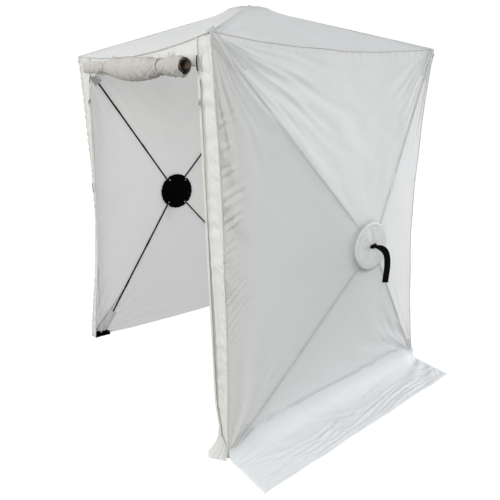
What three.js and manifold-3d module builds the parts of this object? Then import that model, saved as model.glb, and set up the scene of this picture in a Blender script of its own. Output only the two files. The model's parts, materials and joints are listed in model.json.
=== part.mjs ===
// Privacy shower tent with pop-out hub walls: three walls and a roof of cloth, each pushed out by a
// hub and four rods, and an open front whose door is rolled up under the roof.
// Millimetres, +Z up. The doorway faces -Y and the skirt lies along the +X wall.
// The origin is on the ground, under the middle of the whole tent's bounding box.
import * as THREE from "three";
import { mergeVertices } from "three/addons/utils/BufferGeometryUtils.js";
import Module from "manifold-3d";

const wasm = await Module();
wasm.setup();

// ---- driving dimensions ----
const wallHeight = 2000; // ground to the top corners
const baseWidth = 1600; // between the side walls at the ground, along the back wall
const baseDepth = 1612; // between the front and the back at the ground
const frontFlare = 57; // each front foot stands this much wider than the back one
const topWidth = 1535; // between the side walls at the top corners
const topDepth = 1550; // between the front and the back there
const wallBulge = 212; // hub pins outside a wall's flat plane
const roofRise = 225; // hub pins above the top corners

const clothThickness = 2;
const seamInset = 3; // each panel's edge stops this far inside the shared seam line
const frontCornerSag = 30; // how far the front corner seams are pulled back
const frontCornerPinch = 8; // and pulled in sideways
const backCornerSag = 42; // how far the rear corner seams are pulled in, each way
const eaveSag = 38; // how far the side and back eaves hang down
const eavePull = 25; // and are pulled in
const hemSag = 45; // the front hem hangs lower

const pocketSide = 42; // corner gusset that the roof and wall rods point at
const pocketHeight = 44;
const pocketInset = 9;
const pocketDrop = 22; // top of the gusset below the top corner

const rodRadius = 5.5;
const rodGap = 1.5; // rod to the cloth outside it
const rodToCloth = rodRadius + rodGap + clothThickness / 2; // rod axis to the middle of the cloth
const rodEndGap = 32; // rod end to the gusset's far side, as rods reach out when a hub is pushed in
const rodEndShort = Math.hypot(pocketInset + pocketSide, pocketDrop + pocketHeight) + rodEndGap;
const rodTail = 9; // rod beyond its pin, towards the hub centre

const hubRadius = 114;
const pinInset = 19; // hub's edge to the ring that all four rods turn on
const pinCircle = hubRadius - pinInset;
const hubBack = 13; // hub's inner face below the plane of the pins
const ringWire = 2; // radius of the ring's wire
const ringClearance = 0.5; // around the wire, in the rod ends and in the hub's groove
const slotClearance = 2; // each side of a rod in its hub slot
const coverLap = 26; // cover and patch beyond the hub's edge
const coverRadius = hubRadius + coverLap;
const coverDepth = 17;
const coverGap = 3.5; // rods to the cover's rim
const coverNotch = 15; // radius of the notch under each rod
const patchLap = 8;
const patchRadius = hubRadius + patchLap;
const patchThickness = 3;
const patchGap = 2; // patch to the rods, when the hub is pushed right in and they tip up
const patchHoleGap = 5; // patch edge to the round hole in the wall cloth

const strapWidth = 36;
const strapThickness = 2.5;
const strapDrop = 240; // lowest point of a hanging pull strap below its hub centre
const strapReach = 78; // how far it loops out from the pins
const strapLean = THREE.MathUtils.degToRad(22); // a hanging strap's swing to the right, seen from outside
const roofStrapLength = 200;
const roofStrapLean = Math.PI; // the roof's strap lies towards the back
const strapSlotGap = 6; // around a strap, in the slot it passes as its hub is pushed in

const jambLow = { left: 45, right: 95 }; // jamb widths at the ground
const jambHigh = { left: 170, right: 115 }; // and at the top, where the left one spreads
const headerDrop = 105;
const skirtWidth = 297;
const skirtTaper = 30; // the skirt's far end stops this much short
const hemThickness = 2.4; // skirt and flap cloth that lies on the ground
const flapReach = 62;
const flapLength = 165;

const rollRadius = 44;
const rollDropLeft = 78; // roll axis below the top corners at its left end
const rollDropRight = 130; // and at its right end
const rollStandOff = 8; // roll surface to the header cloth
const rollLeftGap = 75; // left end of the roll to the line of the jamb's inner edge
const rollRightGap = 20; // right end to its jamb
const tieWidth = 22;
const tieThickness = 2;
const tieGap = 3; // around the roll
const tieLeft = -200; // each tie from the doorway's middle
const tieRight = 430;

const footLength = 92; // along the side wall
const footWidth = 46;
const footHeight = 38;
const footInset = 6; // foot to the wall's seam line

const zipWidth = 16;
const zipThickness = 1.6;
const zipTop = 260; // top end of the zip below the top corner
const zipBottom = 45; // bottom end above the ground
const sliderLength = 26;
const sliderWidth = 13;
const sliderThickness = 7;
const fitGap = 0.5; // between pieces that lie against each other

const clothSteps = 6; // steps along each edge of a panel
const roundSteps = 24; // steps round a hub piece
// Half the space for the ring's wire, which stands inside its true circle midway between two steps.
const ringHalfSpace = ringWire + ringClearance + pinCircle * (1 - Math.cos(Math.PI / roundSteps));

// ---- materials ----
const cloth = (name, color) => new THREE.MeshStandardMaterial({ name, color, roughness: 0.75 });
const plastic = (name, color, roughness) => new THREE.MeshStandardMaterial({ name, color, roughness });
const whiteCloth = () => cloth("white_cloth", 0xdfe2e3);
const skirtCloth = () => cloth("skirt_cloth", 0xd9dfe1);
const blackPlastic = () => plastic("black_plastic", 0x151516, 0.35);
const blackRod = () => plastic("rod_fibreglass", 0x1b1b1c, 0.5);
const blackWebbing = () => cloth("black_webbing", 0x121212);
const zipTape = () => cloth("zip_tape", 0xd8d6cc);
const steel = () =>
  new THREE.MeshStandardMaterial({ name: "steel", color: 0x9a9c9e, roughness: 0.3, metalness: 1 });

// ---- booleans on closed meshes ----
function solidOf(geometry) {
  const bare = geometry.clone();
  bare.deleteAttribute("normal");
  bare.deleteAttribute("uv");
  const merged = mergeVertices(bare, 1e-4);
  return new wasm.Manifold(
    new wasm.Mesh({
      numProp: 3,
      vertProperties: Float32Array.from(merged.attributes.position.array),
      triVerts: Uint32Array.from(merged.index.array),
    }),
  );
}

function geometryOf(solid) {
  const mesh = solid.getMesh();
  const geometry = new THREE.BufferGeometry();
  geometry.setAttribute("position", new THREE.BufferAttribute(mesh.vertProperties, mesh.numProp));
  geometry.setIndex(new THREE.BufferAttribute(mesh.triVerts, 1));
  geometry.computeVertexNormals();
  return geometry;
}

function cutFrom(geometry, tools) {
  const cut = tools.reduce((body, tool) => body.subtract(solidOf(tool)), solidOf(geometry));
  return geometryOf(cut);
}

// ---- shapes ----
// A sheet through rows of points, thickened both ways along a direction. The rows run along the
// sheet; closed joins the last row to the first. Rows and points turn anticlockwise about the
// direction, so the faces point out.
function sheet(rows, along, thickness, closed = false) {
  const across = rows[0].length;
  const half = along.clone().multiplyScalar(thickness / 2);
  const points = [];
  for (const side of [1, -1]) {
    for (const row of rows) {
      for (const point of row) points.push(point.clone().addScaledVector(half, side));
    }
  }
  const at = (side, i, j) => side * rows.length * across + (i % rows.length) * across + j;
  const faces = [];
  const quad = (a, b, c, d) => faces.push(a, b, c, a, c, d);
  const spans = closed ? rows.length : rows.length - 1;
  for (let i = 0; i < spans; i++) {
    for (let j = 0; j < across - 1; j++) {
      quad(at(0, i, j), at(0, i, j + 1), at(0, i + 1, j + 1), at(0, i + 1, j));
      quad(at(1, i, j), at(1, i + 1, j), at(1, i + 1, j + 1), at(1, i, j + 1));
    }
    const last = across - 1;
    quad(at(0, i, last), at(1, i, last), at(1, i + 1, last), at(0, i + 1, last));
    quad(at(0, i, 0), at(0, i + 1, 0), at(1, i + 1, 0), at(1, i, 0));
  }
  if (!closed) {
    const end = rows.length - 1;
    for (let j = 0; j < across - 1; j++) {
      quad(at(0, 0, j), at(1, 0, j), at(1, 0, j + 1), at(0, 0, j + 1));
      quad(at(0, end, j), at(0, end, j + 1), at(1, end, j + 1), at(1, end, j));
    }
  }
  const geometry = new THREE.BufferGeometry().setFromPoints(points);
  geometry.setIndex(faces);
  geometry.computeVertexNormals();
  return geometry;
}

// A lathe about the Z axis, from [radius, height] pairs. The profile runs upwards on the outside.
function turned(profile, steps = roundSteps) {
  const outline = profile.map(([radius, height]) => new THREE.Vector2(radius, height));
  const geometry = new THREE.LatheGeometry(outline, steps);
  geometry.rotateX(Math.PI / 2);
  return geometry;
}

// A flat band bent along a curve in the (v, n) plane, as wide as a strap along u.
function band(curve, steps, thickness, width) {
  const inner = [];
  const outer = [];
  for (let i = 0; i <= steps; i++) {
    const point = curve.getPoint(i / steps);
    const run = curve.getTangent(i / steps);
    const side = new THREE.Vector2(-run.y, run.x).multiplyScalar(thickness / 2);
    inner.push(point.clone().sub(side));
    outer.push(point.clone().add(side));
  }
  const outline = new THREE.Shape([...inner, ...outer.reverse()]);
  const geometry = new THREE.ExtrudeGeometry(outline, { depth: width, bevelEnabled: false });
  geometry.translate(0, 0, -width / 2);
  // The outline's x and y become v and n, and its depth becomes u.
  const turn = new THREE.Matrix4().makeBasis(
    new THREE.Vector3(0, 1, 0),
    new THREE.Vector3(0, 0, 1),
    new THREE.Vector3(1, 0, 0),
  );
  return geometry.applyMatrix4(turn);
}

function block(length, width, height, corner) {
  const outline = new THREE.Shape();
  const x = length / 2;
  const y = width / 2;
  outline.moveTo(-x + corner, -y);
  outline.lineTo(x - corner, -y);
  outline.absarc(x - corner, -y + corner, corner, -Math.PI / 2, 0);
  outline.absarc(x - corner, y - corner, corner, 0, Math.PI / 2);
  outline.absarc(-x + corner, y - corner, corner, Math.PI / 2, Math.PI);
  outline.absarc(-x + corner, -y + corner, corner, Math.PI, 1.5 * Math.PI);
  return new THREE.ExtrudeGeometry(outline, { depth: height, bevelEnabled: false, curveSegments: 3 });
}

function part(name, geometry, material, parent) {
  const mesh = new THREE.Mesh(geometry, material);
  mesh.name = name;
  parent.add(mesh);
  return mesh;
}

// ---- seam lines ----
const tent = new THREE.Group();

// side is -1 or 1 along X, end is -1 (front) or 1 (back) along Y.
const halfBase = (end) => baseWidth / 2 + (end < 0 ? frontFlare : 0);
const bottomCorner = (side, end) => new THREE.Vector3(side * halfBase(end), (end * baseDepth) / 2, 0);
const topCorner = (side, end) => new THREE.Vector3((side * topWidth) / 2, (end * topDepth) / 2, wallHeight);

// A seam between two corners, pulled off the straight line by pull at its middle.
function seam(from, to, pull) {
  return (t) => from.clone().lerp(to, t).addScaledVector(pull, 4 * t * (1 - t));
}

function cornerSeam(side, end) {
  const inX = end < 0 ? frontCornerPinch : backCornerSag;
  const inY = end < 0 ? frontCornerSag : backCornerSag;
  return seam(bottomCorner(side, end), topCorner(side, end), new THREE.Vector3(-side * inX, -end * inY, 0));
}

const sideEave = (side) =>
  seam(topCorner(side, -1), topCorner(side, 1), new THREE.Vector3(-side * eavePull, 0, -eaveSag));
const backEave = seam(topCorner(-1, 1), topCorner(1, 1), new THREE.Vector3(0, -eavePull, -eaveSag));
const frontHem = seam(topCorner(-1, -1), topCorner(1, -1), new THREE.Vector3(0, eavePull / 2, -hemSag));
const groundLine = (from, to) => seam(from, to, new THREE.Vector3());
const reversed = (line) => (t) => line(1 - t);

// ---- hub panels ----
// A wall's own frame: u to the right seen from outside, v up (or back, on the roof), n outwards,
// with its origin where the pins' plane crosses the middle of the panel.
function panelFrame(corners, bulge) {
  const [lowLeft, lowRight, highRight, highLeft] = corners;
  const lowMiddle = lowLeft.clone().add(lowRight).multiplyScalar(0.5);
  const highMiddle = highLeft.clone().add(highRight).multiplyScalar(0.5);
  const run = lowRight.clone().sub(lowLeft).add(highRight).sub(highLeft);
  const v = highMiddle.clone().sub(lowMiddle).normalize();
  const n = run.cross(v).normalize();
  const u = v.clone().cross(n);
  const frame = new THREE.Group();
  frame.matrixAutoUpdate = false;
  frame.matrix.makeBasis(u, v, n);
  frame.matrix.setPosition(lowMiddle.add(highMiddle).multiplyScalar(0.5).addScaledVector(n, bulge));
  tent.add(frame);
  return frame;
}

// How steeply a rod falls from the plane of the pins to a corner of the panel's frame.
const reachOf = (corner) => Math.hypot(corner.x, corner.y);
const dropTo = (corner) => rodToCloth - corner.z;
const fallTo = (corner) => dropTo(corner) / (reachOf(corner) - pinCircle);

// The panel's cloth: ruled lines from a round hole at the hub to the four seams, which run
// anticlockwise from the low left corner. The pull strap's slot is cut below the hole.
function panelCloth(name, frame, seams, bulge, slotEnd, slotLean) {
  const inverse = frame.matrix.clone().invert();
  const local = (point) => point.applyMatrix4(inverse);
  const holeRadius = patchRadius + patchHoleGap;
  const corners = seams.map((line) => local(line(0)));
  const heading = (point) => Math.atan2(point.y, point.x);
  const middle = new THREE.Vector3(0, 0, -bulge);
  const rows = [];
  seams.forEach((line, k) => {
    const start = heading(corners[k]);
    const next = heading(corners[(k + 1) % 4]);
    const sweep = THREE.MathUtils.euclideanModulo(next - start, 2 * Math.PI);
    const fall = fallTo(corners[k]);
    for (let i = 0; i < clothSteps; i++) {
      const angle = start + (sweep * i) / clothSteps;
      const edge = local(line(i / clothSteps));
      edge.addScaledVector(middle.clone().sub(edge).normalize(), seamInset * (i ? 1 : Math.SQRT2));
      const lip = new THREE.Vector3(Math.cos(angle), Math.sin(angle), 0).multiplyScalar(holeRadius);
      lip.z = rodToCloth - fall * (holeRadius - pinCircle);
      rows.push([lip, edge]);
    }
  });
  const geometry = sheet(rows, new THREE.Vector3(0, 0, 1), clothThickness, true);
  const slot = new THREE.BoxGeometry(strapWidth + 2 * strapSlotGap, slotEnd, bulge);
  slot.translate(0, -slotEnd / 2, 0);
  slot.rotateZ(slotLean);
  part(name, cutFrom(geometry, [slot]), whiteCloth(), frame);
  return corners;
}

// Top of a hub above the plane of its pins: as high as its rods tip up under the patch.
const hubFrontOf = (fall) => rodRadius * Math.hypot(1, fall) + (patchRadius - pinCircle) * fall + patchGap;

function hubBody(name, frame, headings, hubFront) {
  const geometry = turned([
    [0, -hubBack],
    [pinCircle - ringHalfSpace, -hubBack],
    [pinCircle - ringHalfSpace, ringHalfSpace],
    [pinCircle + ringHalfSpace, ringHalfSpace],
    [pinCircle + ringHalfSpace, -hubBack],
    [hubRadius, -hubBack],
    [hubRadius, hubFront - 3],
    [hubRadius - 5, hubFront],
    [0, hubFront],
  ]);
  const slotWidth = 2 * (rodRadius + slotClearance);
  const slotFrom = pinCircle - rodTail - 2 * slotClearance;
  const slotTo = hubRadius + slotClearance;
  const slots = headings.map((heading) => {
    const slot = new THREE.BoxGeometry(slotTo - slotFrom, slotWidth, hubBack + hubFront);
    slot.translate((slotFrom + slotTo) / 2, 0, -slotClearance);
    return slot.rotateZ(heading);
  });
  part(name, cutFrom(geometry, slots), blackPlastic(), frame);
}

function hubRing(name, frame) {
  const profile = [];
  for (let i = 0; i <= 6; i++) {
    const angle = (-i * Math.PI) / 3;
    profile.push([pinCircle + ringWire * Math.cos(angle), -ringWire * Math.sin(angle)]);
  }
  part(name, turned(profile), steel(), frame);
}

// The moulded inner cover: a low dome over the hub's inner face, notched under each rod.
function hubCover(name, frame, headings, fall) {
  const rim = -(coverRadius - pinCircle) * fall - rodRadius - coverGap;
  const boss = pinCircle - ringHalfSpace - 2 * slotClearance - rodTail;
  const geometry = turned([
    [0, rim - coverDepth],
    [coverRadius * 0.55, rim - coverDepth + 1.5],
    [coverRadius - 12, rim - 8],
    [coverRadius, rim - 3],
    [coverRadius, rim],
    [boss, rim],
    [boss, -hubBack - fitGap],
    [0, -hubBack - fitGap],
  ]);
  const notches = headings.map((heading) => {
    const notch = new THREE.CylinderGeometry(coverNotch, coverNotch, 3 * coverDepth, 12);
    notch.rotateX(Math.PI / 2);
    notch.translate(coverRadius + coverNotch / 2, 0, rim);
    return notch.rotateZ(heading);
  });
  part(name, cutFrom(geometry, notches), blackPlastic(), frame);
}

// The round cloth patch sewn over the hub's outer face.
function hubPatch(name, frame, low) {
  const geometry = turned([
    [0, low],
    [patchRadius, low],
    [patchRadius, low + patchThickness / 2],
    [patchRadius - 8, low + patchThickness],
    [0, low + patchThickness],
  ]);
  part(name, geometry, whiteCloth(), frame);
}

// A pull strap that comes out of the patch, loops out and hangs down.
function hangingStrap(name, frame, base) {
  const route = new THREE.SplineCurve([
    new THREE.Vector2(26, base),
    new THREE.Vector2(-6, base + 10),
    new THREE.Vector2(-34, strapReach - 12),
    new THREE.Vector2(-70, strapReach),
    new THREE.Vector2(-120, strapReach - 12),
    new THREE.Vector2(-strapDrop, strapReach - 20),
  ]);
  const strap = part(name, band(route, 14, strapThickness, strapWidth), blackWebbing(), frame);
  strap.rotation.z = strapLean;
}

// The roof's strap lies down the cloth instead.
function lyingStrap(name, frame, base, fall) {
  const end = base - (roofStrapLength - patchRadius) * fall;
  const route = new THREE.SplineCurve([
    new THREE.Vector2(26, base),
    new THREE.Vector2(-10, base + 12),
    new THREE.Vector2(-60, base + 20),
    new THREE.Vector2(-patchRadius, base + 6),
    new THREE.Vector2(-roofStrapLength, end),
  ]);
  const strap = part(name, band(route, 12, strapThickness, strapWidth), blackWebbing(), frame);
  strap.rotation.z = roofStrapLean;
}

// One rod, in a group whose X runs along the rod, whose Y is the pin and whose origin is on it.
function rod(name, frame, corner) {
  const heading = Math.atan2(corner.y, corner.x);
  const length = Math.hypot(dropTo(corner), reachOf(corner) - pinCircle) - rodEndShort;
  const pivot = new THREE.Group();
  pivot.position.set(pinCircle * Math.cos(heading), pinCircle * Math.sin(heading), 0);
  pivot.rotation.set(0, Math.atan(fallTo(corner)), heading, "ZYX");
  frame.add(pivot);
  const bar = new THREE.CylinderGeometry(rodRadius, rodRadius, length + rodTail, 10);
  bar.rotateZ(-Math.PI / 2);
  bar.translate((length - rodTail) / 2, 0, 0);
  const eye = new THREE.CylinderGeometry(ringHalfSpace, ringHalfSpace, 4 * rodRadius, 8);
  part(name, cutFrom(bar, [eye]), blackRod(), pivot);
}

function hubPanel(side, clothName, corners, seams, bulge, strap) {
  const frame = panelFrame(corners, bulge);
  const hangs = strap === "hanging";
  const slotEnd = (hangs ? strapDrop : roofStrapLength) + strapSlotGap;
  const aims = panelCloth(clothName, frame, seams, bulge, slotEnd, hangs ? strapLean : roofStrapLean);
  const headings = aims.map((corner) => Math.atan2(corner.y, corner.x));
  const steepest = Math.max(...aims.map(fallTo));
  const hubFront = hubFrontOf(steepest);
  const patchLow = hubFront + fitGap;
  const strapBase = patchLow + patchThickness + fitGap + strapThickness;
  hubBody("hub_body_" + side, frame, headings, hubFront);
  hubRing("hub_ring_" + side, frame);
  hubCover("hub_cover_" + side, frame, headings, steepest);
  hubPatch("hub_patch_" + side, frame, patchLow);
  if (hangs) hangingStrap("pull_strap_" + side, frame, strapBase);
  else lyingStrap("pull_strap_" + side, frame, strapBase, steepest);
  const places = ["low_left", "low_right", "high_right", "high_left"];
  aims.forEach((corner, k) => rod("rod_" + side + "_" + places[k], frame, corner));
}

function sideWall(name, side) {
  const [left, right] = [-side, side];
  hubPanel(
    name,
    "wall_" + name,
    [bottomCorner(side, left), bottomCorner(side, right), topCorner(side, right), topCorner(side, left)],
    [
      groundLine(bottomCorner(side, left), bottomCorner(side, right)),
      cornerSeam(side, right),
      side > 0 ? reversed(sideEave(side)) : sideEave(side),
      reversed(cornerSeam(side, left)),
    ],
    wallBulge,
    "hanging",
  );
}

function backWall() {
  hubPanel(
    "back",
    "wall_back",
    [bottomCorner(1, 1), bottomCorner(-1, 1), topCorner(-1, 1), topCorner(1, 1)],
    [
      groundLine(bottomCorner(1, 1), bottomCorner(-1, 1)),
      cornerSeam(-1, 1),
      backEave,
      reversed(cornerSeam(1, 1)),
    ],
    wallBulge,
    "hanging",
  );
}

function roof() {
  hubPanel(
    "roof",
    "roof_cloth",
    [topCorner(-1, -1), topCorner(1, -1), topCorner(1, 1), topCorner(-1, 1)],
    [frontHem, sideEave(1), reversed(backEave), reversed(sideEave(-1))],
    roofRise,
    "lying",
  );
}

// ---- front ----
const front = panelFrame(
  [bottomCorner(-1, -1), bottomCorner(1, -1), topCorner(1, -1), topCorner(-1, -1)],
  0,
);
const frontInverse = front.matrix.clone().invert();
const inFront = (point) => point.applyMatrix4(frontInverse);
const outwards = new THREE.Vector3(0, 0, 1);
const frontHalf = inFront(topCorner(1, -1)).y; // half the front's slant height

const sideOf = { left: -1, right: 1 };

// Where a jamb's inner edge stands, at a height v in the front's frame.
function doorEdge(place, v) {
  const share = (v + frontHalf) / (2 * frontHalf);
  const low = halfBase(-1) - jambLow[place];
  const high = topWidth / 2 - jambHigh[place];
  return sideOf[place] * THREE.MathUtils.lerp(low, high, share);
}

function jamb(place) {
  const side = sideOf[place];
  const rows = [];
  for (let i = 0; i <= 2 * clothSteps; i++) {
    const t = (seamInset + i * ((wallHeight - 4 * seamInset) / (2 * clothSteps))) / wallHeight;
    const outer = inFront(cornerSeam(side, -1)(t));
    outer.x -= side * seamInset;
    outer.z -= clothThickness;
    const inner = new THREE.Vector3(doorEdge(place, outer.y), outer.y, 0);
    rows.push(side > 0 ? [inner, outer] : [outer, inner]);
  }
  part("jamb_" + place, sheet(rows, outwards, clothThickness), whiteCloth(), front);
}

// The cloth above the doorway, between the jambs.
function header() {
  const left = doorEdge("left", frontHalf) + seamInset;
  const right = doorEdge("right", frontHalf) - seamInset;
  const rows = [];
  for (let i = 0; i <= 2 * clothSteps; i++) {
    const x = THREE.MathUtils.lerp(left, right, i / (2 * clothSteps));
    const top = inFront(frontHem(0.5 + x / topWidth));
    const low = new THREE.Vector3(x, frontHalf - headerDrop - hemSag / 2, 0);
    top.y -= 2 * seamInset;
    rows.push([top, low]);
  }
  part("door_header", sheet(rows, outwards, clothThickness), whiteCloth(), front);
}

const rollLeftEnd = new THREE.Vector3(
  doorEdge("left", frontHalf - rollDropLeft) + rollLeftGap,
  frontHalf - rollDropLeft,
  rollRadius + rollStandOff,
);
const rollRightEnd = new THREE.Vector3(
  doorEdge("right", frontHalf - rollDropRight) - rollRightGap,
  frontHalf - rollDropRight,
  rollRadius + rollStandOff,
);

function doorRoll() {
  const section = new THREE.Shape().absarc(0, 0, rollRadius, 0, 2 * Math.PI);
  const geometry = new THREE.ExtrudeGeometry(section, {
    steps: 6,
    curveSegments: 12,
    extrudePath: new THREE.LineCurve3(rollLeftEnd, rollRightEnd),
  });
  part("door_roll", geometry, whiteCloth(), front);
}

// A webbing loop round the roll.
function doorTie(name, x) {
  const low = rollRadius + tieGap;
  const high = low + tieThickness;
  const geometry = turned([
    [low, -tieWidth / 2],
    [high, -tieWidth / 2],
    [high, tieWidth / 2],
    [low, tieWidth / 2],
    [low, -tieWidth / 2],
  ], 16);
  geometry.rotateY(Math.PI / 2);
  const tie = part(name, geometry, blackWebbing(), front);
  const run = rollRightEnd.clone().sub(rollLeftEnd);
  tie.position.copy(rollLeftEnd).addScaledVector(run, (x - rollLeftEnd.x) / run.x);
  tie.rotation.z = Math.atan2(run.y, run.x);
}

// The zip along a jamb's inner edge and its slider, which rests at the top.
function doorZip(place) {
  const low = -frontHalf + zipBottom;
  const high = frontHalf - zipTop;
  const lift = clothThickness / 2 + fitGap + zipThickness / 2;
  const inset = zipWidth / 2 + seamInset;
  const at = (v) => new THREE.Vector3(doorEdge(place, v) + sideOf[place] * inset, v, lift);
  const lean = Math.atan2(at(high).x - at(low).x, high - low);
  const tape = part(
    "zip_tape_" + place,
    new THREE.BoxGeometry(zipWidth, Math.hypot(at(high).x - at(low).x, high - low), zipThickness),
    zipTape(),
    front,
  );
  tape.position.copy(at(low).lerp(at(high), 0.5));
  tape.rotation.z = -lean;
  const slider = part(
    "zip_slider_" + place,
    block(sliderLength, sliderWidth, sliderThickness, 3),
    steel(),
    front,
  );
  slider.position.copy(at(high - sliderLength / 2));
  slider.position.z += zipThickness / 2 + fitGap;
  slider.rotation.z = Math.PI / 2 - lean;
}

// ---- ground pieces and corners ----
function foot(name, side, end) {
  const mesh = part(name, block(footWidth, footLength, footHeight, 8), blackPlastic(), tent);
  const corner = bottomCorner(side, end);
  mesh.position.set(
    corner.x - side * (footInset + footWidth / 2),
    corner.y - end * (footInset + footLength / 2),
    0,
  );
}

function cornerPocket(name, side, end) {
  const outline = new THREE.Shape([
    new THREE.Vector2(0, 0),
    new THREE.Vector2(pocketSide, 0),
    new THREE.Vector2(0, pocketSide),
  ]);
  const geometry = new THREE.ExtrudeGeometry(outline, { depth: pocketHeight, bevelEnabled: false });
  geometry.rotateZ(Math.atan2(-end, -side) - Math.PI / 4);
  const mesh = part(name, geometry, whiteCloth(), tent);
  const share = 1 - (pocketDrop + pocketHeight / 2) / wallHeight;
  const corner = bottomCorner(side, end).lerp(topCorner(side, end), share);
  mesh.position.set(
    corner.x - side * pocketInset,
    corner.y - end * pocketInset,
    wallHeight - pocketDrop - pocketHeight,
  );
}

// Cloth that lies on the ground: an outline in plan, thickened upwards.
function groundCloth(name, corners, material) {
  const outline = new THREE.Shape(corners.map(([x, y]) => new THREE.Vector2(x, y)));
  const geometry = new THREE.ExtrudeGeometry(outline, { depth: hemThickness, bevelEnabled: false });
  part(name, geometry, material, tent);
}

function skirt() {
  const frontEdge = halfBase(-1) + seamInset;
  const backEdge = halfBase(1) + seamInset;
  const half = baseDepth / 2;
  groundCloth(
    "skirt_right",
    [
      [frontEdge, -half],
      [frontEdge + skirtWidth, -half],
      [backEdge + skirtWidth, half - skirtTaper],
      [backEdge, half],
    ],
    skirtCloth(),
  );
}

function jambFlap() {
  const edge = -baseDepth / 2 - 2 * seamInset;
  const side = halfBase(-1);
  groundCloth(
    "jamb_flap",
    [
      [side - flapLength, edge],
      [side - flapLength / 3, edge - flapReach],
      [side, edge - flapReach / 3],
      [side, edge],
    ],
    skirtCloth(),
  );
}

// ---- assembly ----
sideWall("right", 1);
sideWall("left", -1);
backWall();
roof();
for (const [place, side] of Object.entries(sideOf)) {
  jamb(place);
  doorZip(place);
  foot("foot_front_" + place, side, -1);
  foot("foot_back_" + place, side, 1);
  cornerPocket("corner_pocket_front_" + place, side, -1);
  cornerPocket("corner_pocket_back_" + place, side, 1);
}
header();
doorRoll();
doorTie("door_tie_left", tieLeft);
doorTie("door_tie_right", tieRight);
skirt();
jambFlap();

tent.updateMatrixWorld(true);
const bounds = new THREE.Box3().setFromObject(tent, true);
const middle = bounds.getCenter(new THREE.Vector3());
tent.position.set(-middle.x, -middle.y, -bounds.min.z);

export default tent;
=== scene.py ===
import json
import math
import bpy
import numpy as np
from mathutils import Matrix, Vector


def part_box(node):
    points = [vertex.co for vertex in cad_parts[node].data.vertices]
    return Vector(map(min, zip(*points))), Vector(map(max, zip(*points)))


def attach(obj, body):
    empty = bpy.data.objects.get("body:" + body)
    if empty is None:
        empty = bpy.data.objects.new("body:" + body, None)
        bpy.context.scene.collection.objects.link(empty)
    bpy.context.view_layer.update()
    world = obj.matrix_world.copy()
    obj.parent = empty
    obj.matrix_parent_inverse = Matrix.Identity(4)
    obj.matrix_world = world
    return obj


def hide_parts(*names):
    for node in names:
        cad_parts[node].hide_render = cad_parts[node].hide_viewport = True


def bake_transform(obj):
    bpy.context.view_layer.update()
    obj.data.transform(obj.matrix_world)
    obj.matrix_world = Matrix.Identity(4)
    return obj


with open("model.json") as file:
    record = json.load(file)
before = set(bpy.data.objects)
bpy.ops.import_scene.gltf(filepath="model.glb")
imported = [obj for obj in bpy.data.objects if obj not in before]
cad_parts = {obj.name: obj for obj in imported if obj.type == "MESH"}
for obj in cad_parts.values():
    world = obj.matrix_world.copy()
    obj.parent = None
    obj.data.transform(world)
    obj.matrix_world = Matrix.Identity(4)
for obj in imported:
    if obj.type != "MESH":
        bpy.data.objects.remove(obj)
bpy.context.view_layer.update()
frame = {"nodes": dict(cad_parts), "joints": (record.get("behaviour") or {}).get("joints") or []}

TAU = 2 * math.pi
SIDES = ("right", "left", "back", "roof")
JOINTS = {j["name"]: j for j in frame["joints"]}
X = (1, 0, 0)
Z = np.array((0.0, 0.0, 1.0))


def unit(v):
    return v / np.linalg.norm(v)


def smooth(x):
    x = np.clip(x, 0, 1)
    return x * x * (3 - 2 * x)


def middle(node):
    low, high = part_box(node)
    return np.array((low + high) / 2)


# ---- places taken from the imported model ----
AXIS = middle("hub_patch_roof") * (1, 1, 0)
INSET = 0.003  # the solid cloth stops this far inside each seam line
TOP_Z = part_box("wall_right")[1].z + INSET
FRONT, BACK = -1, 1
ENDS = ((FRONT, "front"), (BACK, "back"))
HANDS = ((-1, "left"), (1, "right"))


def x_of(side, end, top):
    node = "roof_cloth" if top else "wall_back" if end == BACK else "jamb_right" if side > 0 else "jamb_left"
    low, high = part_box(node)
    return high.x + INSET if side > 0 else low.x - INSET


def y_of(end, top):
    low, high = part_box("roof_cloth" if top else "wall_right")
    return low.y - INSET if end == FRONT else high.y + INSET


CORNER = {(s, e, top): np.array((x_of(s, e, top), y_of(e, top), TOP_Z if top else 0.0))
          for s in (-1, 1) for e in (FRONT, BACK) for top in (False, True)}


def seam(a, b, pull, wobble=0.0025, seed=0):
    """A seam line from a to b, pulled off the straight by pull, with a slight waver."""
    def line(t):
        t = np.asarray(t, float)[..., None]
        bow = 4 * t * (1 - t)
        waver = np.sin(TAU * (2.3 * t + seed * 0.37)) + 0.6 * np.sin(TAU * (5.1 * t + seed * 0.71))
        return a + (b - a) * t + np.asarray(pull) * bow + unit(np.asarray(pull) + 1e-9) * wobble * bow * waver
    return line


FLARE = np.array((-0.026, -0.048, 0))  # how far the left front corner stands out at the ground
FLARE_WIDTH, FLARE_DEPTH, FLARE_HEIGHT = 0.30, 0.26, 0.95  # and the distances over which that fades


def flared(P):
    c = CORNER[-1, FRONT, False]
    low = smooth((FLARE_HEIGHT - P[..., 2]) / FLARE_HEIGHT)
    near = smooth(1 - (P[..., 1] - c[1]) / FLARE_DEPTH) * smooth(1 - (P[..., 0] - c[0]) / FLARE_WIDTH)
    return P + FLARE * (low * near)[..., None]


EAVE_IN, EAVE_SAG = 0.025, 0.038  # how far an eave's middle is drawn in and down
BACK_IN = 0.042  # how far a back corner seam's middle is drawn in, both ways


def corner_seam(s, e):
    pull = (-s * 0.008, 0.030, 0) if e == FRONT else (-s * BACK_IN, -BACK_IN, 0)
    return seam(CORNER[s, e, False], CORNER[s, e, True], pull, seed=s + 2 * e)


def eave(s):
    return seam(CORNER[s, FRONT, True], CORNER[s, BACK, True], (-s * EAVE_IN, 0, -EAVE_SAG), seed=4 + s)


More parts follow.
